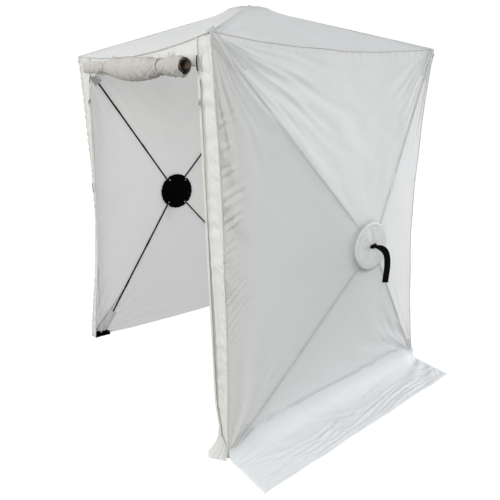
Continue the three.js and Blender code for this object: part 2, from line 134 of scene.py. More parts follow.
back_eave = seam(CORNER[-1, BACK, True], CORNER[1, BACK, True], (0, -EAVE_IN, -EAVE_SAG), seed=7)
front_hem = seam(CORNER[-1, FRONT, True], CORNER[1, FRONT, True], (0, 0.0125, -0.045), 0.001, seed=8)


def ground(a, b):
    return seam(a, b, (0, 0, 1e-6), 0)


def turned(line):
    return lambda t: line(1 - np.asarray(t, float))


def wall_seams(s):
    near, far = -s, s  # the corner on the left and on the right, seen from outside
    top = eave(s) if s < 0 else turned(eave(s))
    foot = ground(CORNER[s, near, False], CORNER[s, far, False])
    if s < 0:  # no skirt holds this edge down, so it draws in a little
        foot = seam(CORNER[s, near, False], CORNER[s, far, False], (0.035, 0, 0.004), 0.001)
    return [foot, corner_seam(s, far), top, turned(corner_seam(s, near))]


SEAMS = {
    "right": wall_seams(1),
    "left": wall_seams(-1),
    "back": [ground(CORNER[1, BACK, False], CORNER[-1, BACK, False]), corner_seam(-1, BACK), back_eave,
             turned(corner_seam(1, BACK))],
    "roof": [front_hem, eave(1), turned(back_eave), turned(eave(-1))],
}

CLOTH = 0.0012  # thickness of the drawn cloth where it has two sides
PIN = 0.095  # radius of the circle of rod pins
LIP = 0.127  # where the cloth leaves the hub
ROD_TO_CLOTH = 0.008
ROD_RADIUS = 0.0055
ROD_SHORT = 0.115  # rod end to the corner it points at


class Hub:
    """A hub panel's own frame: u right seen from outside, v up or back, n out, origin between the pins."""

    def __init__(self, side):
        self.origin = middle("hub_ring_" + side)
        self.n = -unit(np.array(JOINTS[f"hub_{side}_pop"]["axis"]))
        self.v = unit(Z - self.n * (Z @ self.n)) if side != "roof" else np.array((0.0, 1.0, 0.0))
        self.u = np.cross(self.v, self.n)
        self.basis = np.stack([self.u, self.v, self.n])
        self.corners = np.array([self.local(line(0)) for line in SEAMS[side]])
        self.reach = np.hypot(self.corners[:, 0], self.corners[:, 1])
        self.drop = ROD_TO_CLOTH - self.corners[:, 2]
        self.fall = self.drop / (self.reach - PIN)
        self.heading = np.arctan2(self.corners[:, 1], self.corners[:, 0])
        self.patch_low, self.patch_high = self.local_range("hub_patch_" + side)

    def local(self, p):
        return (np.asarray(p) - self.origin) @ self.basis.T

    def world(self, p):
        return np.asarray(p) @ self.basis + self.origin

    def local_range(self, node):
        co = np.array([v.co for v in frame["nodes"][node].data.vertices])
        n = self.local(co)[:, 2]
        return n.min(), n.max()


HUB = {side: Hub(side) for side in SIDES}


def polar(radius, angle, n):
    """Points in a hub's frame, by radius and angle about its axis and height n."""
    return np.stack(np.broadcast_arrays(radius * np.cos(angle), radius * np.sin(angle), n), -1)


# ---- meshes ----
def raw(name, points, quads, material):
    data = bpy.data.meshes.new(name)
    quads = np.asarray(quads, np.int32)
    data.vertices.add(len(points))
    data.vertices.foreach_set("co", np.asarray(points, np.float32).ravel())
    data.loops.add(quads.size)
    data.loops.foreach_set("vertex_index", quads.ravel())
    data.polygons.add(len(quads))
    data.polygons.foreach_set("loop_start", np.arange(0, quads.size, 4, dtype=np.int32))
    data.update(calc_edges=True)
    data.validate()
    data.shade_smooth()
    data.materials.append(material)
    piece = bpy.data.objects.new(name, data)
    bpy.context.scene.collection.objects.link(piece)
    return piece


def quads_of(rows, columns, wrap_rows=False, wrap_columns=False):
    index = np.arange(rows * columns).reshape(rows, columns)
    if wrap_rows:
        index = np.vstack([index, index[:1]])
    if wrap_columns:
        index = np.hstack([index, index[:, :1]])
    return np.stack([index[:-1, :-1], index[1:, :-1], index[1:, 1:], index[:-1, 1:]], -1).reshape(-1, 4)


def film(P, wrap_rows=False):
    """One layer of cloth through a grid of points."""
    return P.reshape(-1, 3), quads_of(*P.shape[:2], wrap_rows)


def slab(P, thickness):
    """A closed sheet of some thickness through a grid of points."""
    n = np.cross(np.gradient(P, axis=0), np.gradient(P, axis=1))
    offset = n / np.maximum(np.linalg.norm(n, axis=-1, keepdims=True), 1e-12) * thickness / 2
    rows, columns = P.shape[:2]
    count = rows * columns
    top = quads_of(rows, columns)
    index = np.arange(count).reshape(rows, columns)
    sides = []
    for rim, flip in ((index[:, 0], False), (index[:, -1], True), (index[0], True), (index[-1], False)):
        strip = np.stack([rim[:-1], rim[:-1] + count, rim[1:] + count, rim[1:]], -1)
        sides.append(strip[:, ::-1] if flip else strip)
    return (np.concatenate([(P + offset).reshape(-1, 3), (P - offset).reshape(-1, 3)]),
            np.concatenate([top, top[:, ::-1] + count, *sides]))


def bar(P):
    """A closed bar through rings of points."""
    rings, count = P.shape[:2]
    body = quads_of(rings, count, wrap_columns=True)
    cap = np.array([(i, i + 1, count - 2 - i, count - 1 - i) for i in range(count // 2 - 1)])
    return P.reshape(-1, 3), np.concatenate([body[:, ::-1], cap[:, ::-1], cap + (rings - 1) * count])


def joined(parts):
    points, quads, at = [], [], 0
    for p, q in parts:
        points.append(p)
        quads.append(q + at)
        at += len(p)
    return np.concatenate(points), np.concatenate(quads)


def section(width, height, steps=12, squareness=3.0):
    """An outline between an ellipse (squareness 2) and a box, for a swept bar."""
    a = np.arange(steps) * TAU / steps + TAU / (2 * steps)
    c, s = np.cos(a), np.sin(a)
    k = 2 / squareness
    return np.stack([np.sign(c) * abs(c) ** k * width / 2, np.sign(s) * abs(s) ** k * height / 2], -1)


def swept(path, hint, shape, scale=None):
    """A closed bar along a path: the section's first axis lies along hint, its second across it."""
    path = np.asarray(path, float)
    run = np.gradient(path, axis=0)
    run /= np.linalg.norm(run, axis=1, keepdims=True)
    hint = np.broadcast_to(np.asarray(hint, float), path.shape)
    a = hint - run * (hint * run).sum(1, keepdims=True)
    a /= np.linalg.norm(a, axis=1, keepdims=True)
    b = np.cross(run, a)
    shape = np.broadcast_to(shape, (len(path),) + shape.shape[-2:])
    if scale is not None:
        shape = shape * np.asarray(scale)[:, None, None]
    return bar(path[:, None] + a[:, None] * shape[..., :1] + b[:, None] * shape[..., 1:])


def lathe(profile, origin, axis, steps=32):
    """A turned solid from (radius, height) pairs along an axis."""
    axis = unit(np.asarray(axis, float))
    a = unit(np.cross(axis, (0.31, 0.62, 0.71)))  # any direction that no axis here runs along
    b = np.cross(axis, a)
    t = np.arange(steps) * TAU / steps
    ring = np.cos(t)[:, None] * a + np.sin(t)[:, None] * b
    profile = np.asarray(profile, float)
    return bar(np.asarray(origin) + profile[:, None, :1] * ring + profile[:, None, 1:] * axis)


def spline(points, steps):
    """A smooth line through points."""
    points = np.asarray(points, float)
    padded = np.vstack([2 * points[0] - points[1], points, 2 * points[-1] - points[-2]])
    t = np.linspace(0, len(points) - 1 - 1e-9, steps)
    i = t.astype(int)
    f = (t - i)[:, None]
    p0, p1, p2, p3 = (padded[i + k] for k in range(4))
    return 0.5 * (2 * p1 + (p2 - p0) * f + (2 * p0 - 5 * p1 + 4 * p2 - p3) * f ** 2
                  + (3 * p1 - p0 - 3 * p2 + p3) * f ** 3)


def ripple(x, seed, waves=4, low=0.6, high=1.7):
    """A wandering wave of about one cycle per unit, from -1 to 1."""
    r = np.random.default_rng(seed)
    return sum(np.sin(TAU * (r.uniform(low, high) * x + r.random())) for _ in range(waves)) / waves ** 0.7


# ---- materials ----
def add_node(tree, kind, inputs, mode=None):
    """A node whose inputs are set to values or linked to other nodes' outputs."""
    node = tree.nodes.new("ShaderNode" + kind)
    if kind == "Mix":
        node.data_type = mode
    elif mode:
        node.operation = mode
    for key, value in inputs.items():
        if isinstance(value, bpy.types.NodeSocket):
            tree.links.new(value, node.inputs[key])
        else:
            node.inputs[key].default_value = value
    return node


ROUGHNESS_SPREAD = 0.06


def material(name, color, roughness, metallic=0.0, sheen=0.0, through=0.0, mottle=(0.03, 5.0), weave=None,
             crease=None, tint=None, scuff=0.0, specular=0.5):
    """Mottled stuff: mottle is its strength and scale, weave its height and step, crease its depth and scale.
    through is the share of light that passes, tint the colour it takes on where the mesh's own tint is 1."""
    m = bpy.data.materials.new(name)
    m.use_nodes = True
    m.diffuse_color = (*color, 1)
    tree = m.node_tree
    tree.nodes.clear()

    def add(kind, inputs, mode=None):
        return add_node(tree, kind, inputs, mode)

    place = add("TexCoord", {}).outputs["Object"]

    def noise(scale, detail=3.0):
        return add("TexNoise", {"Scale": scale, "Detail": detail, "Vector": place}).outputs["Fac"]

    def ranged(value, low, high):
        return add("MapRange", {"From Min": 0.3, "From Max": 0.7, "To Min": low, "To Max": high,
                                "Value": value}).outputs["Result"]

    dark = tuple(c * (1 - 2 * mottle[0]) for c in color)
    base = add("Mix", {6: (*dark, 1), 7: (*color, 1), "Factor": ranged(noise(mottle[1]), 0.0, 1.0)},
               "RGBA").outputs[2]
    if tint:
        attribute = add("Attribute", {})
        attribute.attribute_name = "tint"
        base = add("Mix", {6: base, 7: (*tint, 1), "Factor": attribute.outputs["Fac"]}, "RGBA").outputs[2]
    rough = ranged(noise(mottle[1] * (9 if scuff else 2)), roughness - ROUGHNESS_SPREAD - scuff,
                   roughness + ROUGHNESS_SPREAD)
    surface = {}  # the normal, once something has roughened it
    if crease:
        surface = {"Normal": add("Bump", {"Distance": crease[0], "Strength": 1.0,
                                          "Height": noise(crease[1], 4.0)}).outputs["Normal"]}
    if weave:
        scaled = add("VectorMath", {"Scale": TAU / weave[1], 0: place}, "SCALE")
        axes = add("SeparateXYZ", {0: scaled.outputs[0]}).outputs
        x, y, z = (add("Math", {0: axis}, "SINE").outputs[0] for axis in axes)
        threads = add("Math", {0: add("Math", {0: x, 1: y}, "ADD").outputs[0], 1: z}, "ADD").outputs[0]
        surface = {"Normal": add("Bump", {"Distance": weave[0], "Strength": 0.6, "Height": threads,
                                          **surface}).outputs["Normal"]}
    shader = add("BsdfPrincipled", {"Base Color": base, "Roughness": rough, "Metallic": metallic,
                                    "Sheen Weight": sheen, "Specular IOR Level": specular, **surface})
    result = shader.outputs[0]
    if through:
        glow = add("BsdfTranslucent", {"Color": base, **surface})
        result = add("MixShader", {"Fac": through, 1: result, 2: glow.outputs[0]}).outputs[0]
    add("OutputMaterial", {"Surface": result})
    return m


CREAM = (0.78, 0.775, 0.72)
FINE_WEAVE = (0.00006, 0.003)
cloth = material("cloth_white", (0.80, 0.81, 0.815), 0.72, sheen=0.12, through=0.36, mottle=(0.012, 2.5),
                 weave=FINE_WEAVE, crease=(0.0035, 9), tint=CREAM)
roof_mat = material("cloth_roof", (0.80, 0.815, 0.82), 0.70, sheen=0.12, through=0.36, mottle=(0.012, 2.5),
                    weave=FINE_WEAVE, crease=(0.003, 8))
jamb_mat = material("cloth_jamb", (0.785, 0.785, 0.765), 0.74, sheen=0.12, through=0.3, mottle=(0.01, 4),
                    weave=FINE_WEAVE, crease=(0.004, 22))
# The door's tint colour is the dark brown used as painted shade in the hollow at the roll's open end.
roll_mat = material("cloth_door", (0.50, 0.488, 0.445), 0.72, sheen=0.15, through=0.10, mottle=(0.04, 9),
                    weave=FINE_WEAVE, crease=(0.004, 34), tint=(0.20, 0.155, 0.105))
skirt_mat = material("cloth_skirt", (0.80, 0.82, 0.83), 0.70, sheen=0.1, through=0.2, mottle=(0.015, 4),
                     weave=FINE_WEAVE, crease=(0.003, 18))
patch_mat = material("cloth_patch", (0.72, 0.74, 0.73), 0.72, sheen=0.12, through=0.05, mottle=(0.03, 22),
                     weave=FINE_WEAVE, crease=(0.004, 26))
binding = material("seam_binding", (0.80, 0.80, 0.77), 0.78, sheen=0.1, through=0.3, mottle=(0.02, 14),
                   weave=(0.00025, 0.004))
# Painted shade: the seams' grey is darker than the cloth to stand for the shadow along each lapped seam.
gore_painted_shade = material("gore_seam", (0.63, 0.64, 0.64), 0.78, sheen=0.1, through=0.12, mottle=(0.03, 14),
                weave=(0.0002, 0.004))
tie_mat = material("door_tie_tape", (0.54, 0.525, 0.475), 0.8, sheen=0.1, mottle=(0.05, 30),
                   weave=(0.0003, 0.002))
tape = material("zip_tape_cream", (0.74, 0.735, 0.68), 0.8, sheen=0.1, mottle=(0.05, 30),
                weave=(0.0003, 0.002))
thread = material("stitching", (0.66, 0.66, 0.64), 0.8, mottle=(0.05, 60), weave=(0.0001, 0.001))
webbing = material("webbing_black", (0.0025, 0.0025, 0.003), 0.8, sheen=0.01, specular=0.08,
                   mottle=(0.15, 30), weave=(0.0006, 0.0028))
plastic = material("black_nylon", (0.001, 0.001, 0.0012), 0.30, specular=0.025, mottle=(0.2, 12), scuff=0.08,
                   crease=(0.0004, 60))
rod_mat = material("rod_fibreglass", (0.0015, 0.0015, 0.0018), 0.42, specular=0.03, mottle=(0.2, 40),
                   crease=(0.0002, 180))
slider_mat = material("zip_slider_metal", (0.42, 0.41, 0.39), 0.45, metallic=0.7, mottle=(0.1, 30),
                      scuff=0.08)
steel = material("plated_steel", (0.62, 0.63, 0.64), 0.28, metallic=1.0, mottle=(0.08, 30), scuff=0.08)


def made(name, mesh, mat, node=None, body="tent_shell"):
    """A piece with its slot, the solid it stands for and the body it rides on."""
    piece = raw(name, *mesh, mat)
    if node:
        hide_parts(node)
    if body:
        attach(piece, body)
    return piece


def follow(piece):
    """Bakes the piece's placement into its mesh."""
    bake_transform(piece)


def paint(piece, tint):
    values = np.clip(tint, 0, 1).astype(np.float32).ravel()
    piece.data.attributes.new("tint", "FLOAT", "POINT").data.foreach_set("value", values)


# ---- camera, as fitted to the photograph ----
AZIMUTH, ELEVATION, ROLL = (math.radians(a) for a in (52.7229, 17.3684, -0.5405))
DISTANCE, LENS = 3.3945, 35.545
AIM_LEFT, AIM_DOWN = 0.0011, 0.2619  # from the tent's axis at half its wall height
back = np.array((math.sin(AZIMUTH) * math.cos(ELEVATION), -math.cos(AZIMUTH) * math.cos(ELEVATION),
                 math.sin(ELEVATION)))
right = np.array((math.cos(AZIMUTH), math.sin(AZIMUTH), 0.0))
up = np.cross(back, right)
eye = AXIS + (0, 0, TOP_Z / 2) - right * AIM_LEFT - Z * AIM_DOWN + back * DISTANCE
columns = np.stack([right * math.cos(ROLL) + up * math.sin(ROLL),
                    up * math.cos(ROLL) - right * math.sin(ROLL), back], 1)
camera = bpy.data.objects.new("camera", bpy.data.cameras.new("camera"))
bpy.context.scene.collection.objects.link(camera)
camera.matrix_world = Matrix.Translation(Vector(eye)) @ Matrix(columns.tolist()).to_4x4()
camera.data.lens = LENS
camera.data.sensor_width = 36
camera.data.clip_end = 60
bpy.context.scene.camera = camera


# ---- hub panels ----
ROWS = 68  # rings of points from the hub to the seams
FINE, COARSE = 220, 150  # points along each seam, on the right wall and elsewhere
# Size of the folds that run out of each corner, in the order of the seams.
CORNER_FOLDS = {"right": (0.006, 0.006, 0.006, 0.0115), "left": (0.005, 0.006, 0.004, 0.005),
                "back": (0.005,) * 4, "roof": (0.003,) * 4}
FOLD_REACH = 0.2  # from the corner to where its folds are deepest
OVER_ROD = 0.0006  # the least that the cloth stands out over a rod, beyond its plain shape
DOOR_SEAM = 3  # the right wall's seam beside the doorway
# Radius and height of the cloth's rings that lie on the hub.
SHOULDER = ((0.100, 0.0), (0.112, -0.0004), (0.1185, -0.0008), (0.1225, -0.0012))


def corner_folds(side, P):
    hub = HUB[side]
    shift = np.zeros(P.shape[:2])
    for k, size in enumerate(CORNER_FOLDS[side]):
        d = P[..., :2] - hub.corners[k, :2]
        far = np.linalg.norm(d, axis=-1)
        turn = np.arctan2(d[..., 1], d[..., 0]) - hub.heading[k] - math.pi
        turn = (turn + math.pi) % TAU - math.pi
        wave = (ripple(turn * 3.6 + 0.25 * np.sin(far * 7), 31 + 7 * k + len(side), 5)
                + 0.5 * ripple(turn * 8.0 + 0.2 * np.sin(far * 11), 5 + k, 4))
        shift += size * (far / FOLD_REACH) * np.exp(1 - far / FOLD_REACH) * wave
    return shift


def gathered(along, inside, level):
    """The gathers and the tint of the band beside the doorway's corner seam."""
    band = smooth((level - 0.45) / 0.5) * smooth((1.90 - level) / 0.25)
    near = np.exp(-(inside / 0.11) ** 2)
    slant = along / 0.046 + inside / 0.05
    gather = (ripple(slant, 91, 6, 0.7, 1.4) * (0.6 + 0.5 * ripple(inside / 0.07 + along / 0.25, 92, 3))
              + 0.9 * ripple(along / 0.032 - inside / 0.028, 93, 5, 0.8, 1.3))
    return band * near * 0.0085 * gather * smooth(inside / 0.008), near * 0.75


def panel(side):
    """Cloth from the hub's shoulder out to the four seams, with folds, puckers and a slow billow."""
    hub = HUB[side]
    around = FINE if side == "right" else COARSE
    t = np.arange(around) / around
    edge, angle, fall, along, seam_no = [], [], [], [], []
    for k, line in enumerate(SEAMS[side]):
        following = (k + 1) % 4
        a, b = hub.heading[k], hub.heading[following]
        edge.append(hub.local(line(t)))
        angle.append(a + ((b - a) % TAU) * t)
        fall.append(hub.fall[k] + (hub.fall[following] - hub.fall[k]) * t)
        along.append(t * np.linalg.norm(line(1.0) - line(0.0)))
        seam_no.append(np.full(around, k))
    edge, angle, fall, along, seam_no = map(np.concatenate, (edge, angle, fall, along, seam_no))
    lip = polar(LIP, angle, ROD_TO_CLOTH - fall * (LIP - PIN))
    s = 1 - np.linspace(1, 0, ROWS) ** 1.6  # 0 at the hub, 1 at the seam
    P = lip[:, None] + (edge - lip)[:, None] * s[None, :, None]
    length = np.linalg.norm(edge - lip, axis=1)[:, None]
    inside = (1 - s)[None] * length  # distance from the seam
    x, y = P[..., 0], P[..., 1]
    shift = corner_folds(side, P)
    shift += 0.0035 * ripple(x * 1.4 + 0.5 * y, 11 + len(side)) * ripple(y * 1.2, 17)
    shift *= smooth(inside / 0.06)
    pucker = ripple(along / 0.055, 3 + len(side), 5)[:, None]
    strength = np.where(seam_no == 0, 0.0012, 0.0022)[:, None]
    shift += strength * pucker * np.exp(-inside / 0.03) * smooth(inside / 0.008)
    tint = np.zeros(P.shape[:2])
    if side == "right":
        gather, cream = gathered(along[:, None], inside, hub.world(P)[..., 2])
        beside_door = (seam_no == DOOR_SEAM)[:, None]
        shift += beside_door * gather
        tint = beside_door * cream
    shift *= smooth(s / 0.04)[None]
    for heading in hub.heading:  # over a rod the cloth can only stand out
        c, q = math.cos(heading), math.sin(heading)
        over = np.exp(-((y * c - x * q) / 0.030) ** 2) * (x * c + y * q > 0)
        shift = shift + over * (np.maximum(shift, OVER_ROD) - shift)
    out = np.hypot(x, y)
    if side == "roof":  # the cloth runs smoothly up to the hub
        shift += 0.0125 * np.exp(-np.maximum(0, out - LIP) / 0.055)
    P[..., 2] += shift
    top = hub.patch_low + 0.0004
    shoulder = [polar(radius, angle, np.full(len(angle), top + n)) for radius, n in SHOULDER]
    P = np.concatenate([np.stack(shoulder, 1), P], 1)
    # The share of the hub's travel falls off from the rods' pins, as it does along a rod.
    share = (1 - s)[None] * length / (length + LIP - PIN)
    if side == "roof":  # under the strap the share rises to the hub's whole travel
        off = np.abs((angle - math.pi / 2 + math.pi) % TAU - math.pi)[:, None]
        share = share + (1 - share) * smooth((0.49 - off) / 0.28) * smooth((0.30 - out) / 0.10)
    on_hub = (len(angle), len(SHOULDER))
    P = hub.world(P)
    points, quads = film(flared(P) if side == "left" else P, wrap_rows=True)
    mat, node = (roof_mat, "roof_cloth") if side == "roof" else (cloth, "wall_" + side)
    piece = made("cloth_" + side, (points, quads[:, ::-1]), mat, node, None)
    paint(piece, np.concatenate([np.zeros(on_hub), tint], 1))
    follow(piece)


def on_rod(hub, k, far, lift, sideways=0.0):
    """A local point at rod k: far from the hub's middle, lift above the cloth, sideways along it."""
    c, s = math.cos(hub.heading[k]), math.sin(hub.heading[k])
    n = ROD_TO_CLOTH - hub.fall[k] * (far - PIN) + lift
    return np.stack([c * far - s * sideways, s * far + c * sideways, n + 0 * far], -1)


def share_at(hub, k, far):
    return 1 - (far - PIN) / (hub.reach[k] - PIN)


def gore_seams(side):
    """The lapped seams over the rods."""
    hub = HUB[side]
    parts, weights = [], []
    for k in range(4):
        far = np.linspace(LIP + 0.002, hub.reach[k] - 0.012, 150)
        path = on_rod(hub, k, far, 0.0008 + 0.0006 * ripple(far / 0.06, 40 + k))
        across = np.array((-math.sin(hub.heading[k]), math.cos(hub.heading[k]), 0))
        p, q = swept(path, across, section(0.011, 0.0016, 8))
        p = hub.world(p)
        parts.append((flared(p) if side == "left" else p, q))
        weights.append(np.repeat(share_at(hub, k, far), 8))
    piece = made("gore_seams_" + side, joined(parts), gore_painted_shade, body=None)
    follow(piece)


def sleeves(side):
    """The cloth pockets inside each corner that hold the rod ends."""
    hub = HUB[side]
    parts, weights = [], []
    length = 0.205
    for k in range(4):
        far = np.linspace(hub.reach[k] - length, hub.reach[k] - 0.015, 40)
        spread = np.linspace(-1, 1, 17)
        share = (far - far[0]) / length
        half = 0.030 - 0.006 * share
        depth = 0.0165 + 0.003 * share
        pucker = 0.0022 * ripple(far / 0.03, 60 + k)[:, None] * np.cos(spread * 1.4)[None]
        side_off = half[:, None] * spread[None]
        hang = depth[:, None] * (1 - np.abs(spread) ** 2.6)[None] + pucker
        P = on_rod(hub, k, np.repeat(far[:, None], 17, 1), -0.001 - hang, side_off)
        parts.append(slab(hub.world(P), CLOTH))
        weights.append(np.tile(np.repeat(share_at(hub, k, far), 17), 2))
    piece = made("rod_pockets_" + side, joined(parts), cloth, body=None)
    follow(piece)


COVER_R = 0.140
GROOVES = (0.16, 0.44, 0.72)  # the cover's rings, as shares of its radius


def cover(side):
    """The moulded inner cover: a glossy dome with rings, ribs and a notch under each rod, and its bolts."""
    hub = HUB[side]
    low, high = hub.local_range("hub_cover_" + side)
    t = np.arange(192) * TAU / 192
    gap = np.min(np.abs((t[:, None] - hub.heading[None] + math.pi) % TAU - math.pi), 1)
    rim = COVER_R - 0.0125 * np.exp(-(gap / 0.085) ** 2) - 0.0012 * (1 + np.cos(24 * t)) * (gap > 0.16)
    f = np.array((0.02, 0.1, 0.14, 0.16, 0.18, 0.3, 0.42, 0.44, 0.46, 0.6, 0.7, 0.72, 0.74, 0.86, 0.92, 0.96,
                  0.99, 1.0))
    dome = (high - low) * (0.94 * (1 - f ** 2.4) + 0.02)
    for groove in GROOVES:
        dome -= 0.0016 * np.exp(-((f - groove) / 0.012) ** 2)
    rib = (0.0012 * np.maximum(0, np.cos(12 * t))[:, None] ** 8
           * (smooth((f - 0.2) / 0.1) * smooth((0.9 - f) / 0.1))[None])
    n = high - dome[None] - rib
    n[:, -1] = high - 0.004
    face = polar(rim[:, None] * f[None], t[:, None], n)
    wall = face[:, -1:].copy()
    wall[..., 2] = high
    inner = wall.copy()
    inner[..., :2] *= 0.9
    parts = [film(hub.world(np.concatenate([face, wall, inner], 1)), wrap_rows=True)]
    shoulder = [(0.0005, -0.005), (0.006, -0.0045), (0.0075, -0.002), (0.0078, 0.004), (0.007, 0.005)]
    bolt = [(0.0004, 0.0058), (0.003, 0.0055), (0.0052, 0.0035), (0.006, 0.001), (0.006, -0.006)]
    bolts = []
    for heading in hub.heading:  # a shoulder either side of each rod, and a bolt beside it
        for turn in (-0.2, 0.2):
            parts.append(lathe(shoulder, hub.world(polar(0.127, heading + turn, high - 0.006)), -hub.n, 16))
        bolts.append(lathe(bolt, hub.world(polar(0.116, heading + 0.09, high - 0.0095)), -hub.n, 20))
    body = "hub_" + side
    made("cover_" + side, joined(parts), plastic, "hub_cover_" + side, body)
    made("bolts_" + side, joined(bolts), steel, body=body)


STITCH_R, STITCHES = 0.1085, 84
WEB_WIDTH, WEB_THICK = 0.033, 0.0028
# The strap's line: sideways, up or back, and height over the patch.
HUNG = ((0.000, 0.002, 0.004), (0.016, -0.002, 0.016), (0.038, -0.012, 0.028), (0.058, -0.034, 0.038),
        (0.069, -0.070, 0.042), (0.074, -0.115, 0.041), (0.076, -0.160, 0.036), (0.075, -0.206, 0.032))
LYING = ((0, -0.012, 0.004), (0.004, 0.02, 0.014), (0.008, 0.06, 0.011), (0.012, 0.1, 0.005))
LYING_END = ((0.015, 0.135, 0.0145), (0.018, 0.175, 0.0005), (0.02, 0.2, -0.0065))  # n in the hub's frame


def patch_and_strap(side):
    hub = HUB[side]
    body = "hub_" + side
    roof = side == "roof"
    # The round patch sewn over the hub: a puck under taut cloth.
    radius = np.array((0.001, 0.02, 0.045, 0.07, 0.09, 0.1, 0.107, STITCH_R, 0.110, 0.115, 0.119, 0.1225,
                       0.1245, 0.125))
    rise = hub.patch_high + (0.0008 if roof else 0.004)
    rim = rise - hub.patch_low + 0.001  # it ends above the rods when they tip up
    n = rise - np.array((0, 0, 0, 0, 0, 0.03, 0.08, 0.15, 0.09, 0.1, 0.2, 0.45, 0.75, 1.0)) * rim
    t = np.arange(160) * TAU / 160
    drape = (0.0009 * ripple(t / TAU * 26, 70 + len(side), 5)[:, None] * smooth((radius - 0.06) / 0.05)[None]
             + 0.0026 * ripple(t / TAU * 3, 71, 3)[:, None] * smooth(radius / 0.05)[None]
             + 0.0011 * ripple(t / TAU * 7 + 0.5, 73 + len(side), 5)[:, None]
             * (smooth(radius / 0.03) * np.exp(-((radius - 0.045) / 0.035) ** 2))[None]
             - 0.0045 * np.exp(-(radius / 0.024) ** 2)[None])
    P = polar(radius[None], t[:, None], n[None] + drape)
    patch = made("patch_" + side, film(hub.world(P), wrap_rows=True), patch_mat,
                 "hub_patch_" + side, body)
    patch.data.flip_normals()
    stitches = []
    for i in range(STITCHES):
        path = polar(STITCH_R, TAU * (i + np.linspace(-0.3, 0.3, 5)) / STITCHES, rise - 0.0002)
        stitches.append(swept(hub.world(path), hub.n, section(0.0012, 0.0016, 6)))
    made("patch_stitches_" + side, joined(stitches), thread, body=body)
    # The pull strap: a knot on the patch, then flat webbing that loops out and hangs, or lies on the roof.
    top = rise + 0.002
    steps = 90 if roof else 110
    points = [(u, v, top + n) for u, v, n in (LYING if roof else HUNG)]
    line = spline(points + list(LYING_END) if roof else points, steps)
    turn = smooth(np.linspace(0, 1, steps)[:, None] / 0.5)
    hint = hub.u if roof else unit(hub.v + 0.4 * hub.n) * (1 - turn) + unit(hub.u + 0.65 * hub.n) * turn
    grow = 0.42 + 0.58 * smooth(np.linspace(0, 1, steps) / 0.34)  # it leaves the knot narrow
    parts = [swept(hub.world(line), hint, section(WEB_WIDTH, WEB_THICK, 16, 6.0), grow)]
    for i, (du, dv, tilt) in enumerate(((0.0, 0.0, 0.5), (0.004, 0.005, -0.7))):
        a = np.linspace(0, TAU, 30)
        loop = np.stack([du + 0.013 * np.cos(a), dv + 0.010 * np.sin(a),
                         top + 0.004 + 0.006 * np.sin(a + tilt) + 0.004 * i], -1)
        parts.append(swept(hub.world(loop), hub.n, section(0.012, 0.0045, 12, 3)))
    strap = made("strap_" + side, joined(parts), webbing, "pull_strap_" + side, body)


SLEEVED = 1.06 * ROD_RADIUS  # a rod with its sleeve of black film
BARE = 0.92 * SLEEVED
FERRULE = 1.1 * SLEEVED
FERRULE_HALF = 0.035


def rods(side):
    """Each rod: an eye on the pin, a fibreglass bar with two ferrules and a capped tip."""
    hub = HUB[side]
    for k, place in enumerate(("low_left", "low_right", "high_right", "high_left")):
        node = f"rod_{side}_{place}"
        c, s = math.cos(hub.heading[k]), math.sin(hub.heading[k])
        tilt = math.atan(hub.fall[k])
        run = np.array((c * math.cos(tilt), s * math.cos(tilt), -math.sin(tilt)))
        length = math.hypot(hub.drop[k], hub.reach[k] - PIN) - ROD_SHORT
        profile = [(SLEEVED * 0.5, -0.009), (SLEEVED * 0.95, -0.0085), (SLEEVED, -0.006), (SLEEVED, 0.03),
                   (SLEEVED * 0.98, 0.032), (BARE, 0.034)]
        for at in (0.36, 0.70):
            z = at * length
            profile += [(BARE, z - FERRULE_HALF), (FERRULE, z - FERRULE_HALF + 0.0005), (FERRULE, z - 0.001),
                        (SLEEVED, z), (FERRULE, z + 0.001), (FERRULE, z + FERRULE_HALF - 0.0005),
                        (BARE, z + FERRULE_HALF)]
        profile += [(BARE, length - 0.031), (SLEEVED, length - 0.03), (SLEEVED, length - 0.003),
                    (SLEEVED * 0.8, length - 0.001), (SLEEVED * 0.4, length)]
        turned_bar = lathe(profile, hub.world((PIN * c, PIN * s, 0)), run @ hub.basis, 20)
        made("bar_" + node, turned_bar, rod_mat, node, node).data.flip_normals()


for side in SIDES:
    panel(side)
    gore_seams(side)
    sleeves(side)
    cover(side)
    patch_and_strap(side)
    rods(side)
    for node, mat in (("hub_body_" + side, plastic), ("hub_ring_" + side, steel)):  # the solids as they are
        data = frame["nodes"][node].data
        data.materials.clear()
        data.materials.append(mat)


# ---- seam bindings ----
def bound_seam(name, line, width, hint, seed=0, gather=0.0012):
    """A binding along a seam, on the side that hint points to."""
    t = np.linspace(0.002, 0.998, 220)
    path = line(t)
    length = np.linalg.norm(line(1.0) - line(0.0))
    path = path + np.asarray(hint) * (gather * ripple(t * length / 0.045, seed, 5))[:, None]
    shape = section(width, 0.0045, 12, 2.4)
    made(name, swept(flared(path), hint, shape), binding)


for s, name in HANDS:
    bound_seam("binding_front_" + name, corner_seam(s, FRONT), 0.014, unit(np.array((s * 0.5, -1.0, 0))),
               s + 3, 0.0036)
    bound_seam("binding_back_" + name, corner_seam(s, BACK), 0.011, unit(np.array((s, 1.0, 0))), s + 9)
    bound_seam("binding_eave_" + name, eave(s), 0.011, unit(np.array((s, 0, 0.6))), s + 14)
bound_seam("binding_eave_back", back_eave, 0.011, unit(np.array((0, 1.0, 0.6))), 20)
bound_seam("binding_hem_front", front_hem, 0.012, unit(np.array((0, -1.0, 0.5))), 21, 0.001)


# ---- the front: jambs, header, door ----
FACE_DOWN = CORNER[1, FRONT, False][1]
FACE_UP = CORNER[1, FRONT, True][1]


def face_y(z):
    return FACE_DOWN + (FACE_UP - FACE_DOWN) * z / TOP_Z


def pinched(s, z):
    """The right jamb is drawn towards its corner just above the ground."""
    return 0.030 * np.exp(-((z - 0.12) / 0.10) ** 2) * (s > 0)


